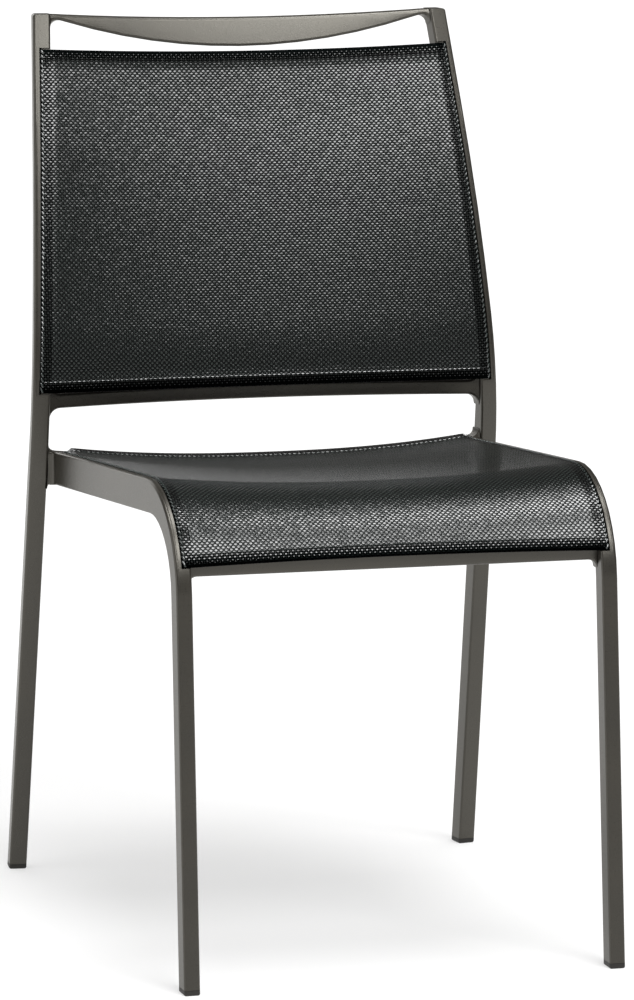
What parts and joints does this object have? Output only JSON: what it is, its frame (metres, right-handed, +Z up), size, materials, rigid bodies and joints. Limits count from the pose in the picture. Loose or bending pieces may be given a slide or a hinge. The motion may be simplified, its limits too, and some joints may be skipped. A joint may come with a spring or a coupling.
{
  "type": "sling patio chair",
  "caption": "Armless stacking patio chair: bent tube frame with a woven seat sling that rolls over the front edge, a woven back sling and a crescent handle across the top.",
  "frame": {"origin": "on the floor, under the middle of the chair's own box", "axes": "+Z up, -Y is where the sitter looks, +X is on the right of who looks at the chair's front"},
  "size_m": [0.5, 0.6152, 0.87],
  "materials": {
    "frame_coat": "satin metallic powder coat, warm grey brown, over aluminium",
    "sling_cloth": "open basket weave of coated yarn, slightly glossy",
    "keder_plastic": "extruded, matt",
    "stop_plastic": "moulded, matt",
    "foot_plastic": "moulded, fine grained"
  },
  "bodies": {
    "root": {"rear_leg_right": "frame_coat", "rear_leg_left": "frame_coat", "seat_rail_right": "frame_coat", "seat_rail_left": "frame_coat", "top_handle_rail": "frame_coat", "lower_back_rail": "frame_coat", "rear_seat_rail": "frame_coat", "front_seat_rail": "frame_coat", "back_sling": "sling_cloth", "seat_sling": "sling_cloth", "back_keder_rod_right": "keder_plastic", "back_keder_rod_left": "keder_plastic", "seat_keder_rod_right": "keder_plastic", "seat_keder_rod_left": "keder_plastic", "back_bottom_stop_right": "stop_plastic", "back_bottom_stop_left": "stop_plastic", "back_top_stop_right": "stop_plastic", "back_top_stop_left": "stop_plastic", "seat_front_stop_right": "stop_plastic", "seat_front_stop_left": "stop_plastic", "seat_rear_stop_right": "stop_plastic", "seat_rear_stop_left": "stop_plastic", "rear_foot_glide_right": "foot_plastic", "rear_foot_glide_left": "foot_plastic", "front_foot_glide_right": "foot_plastic", "front_foot_glide_left": "foot_plastic"}
  },
  "joints": []
}
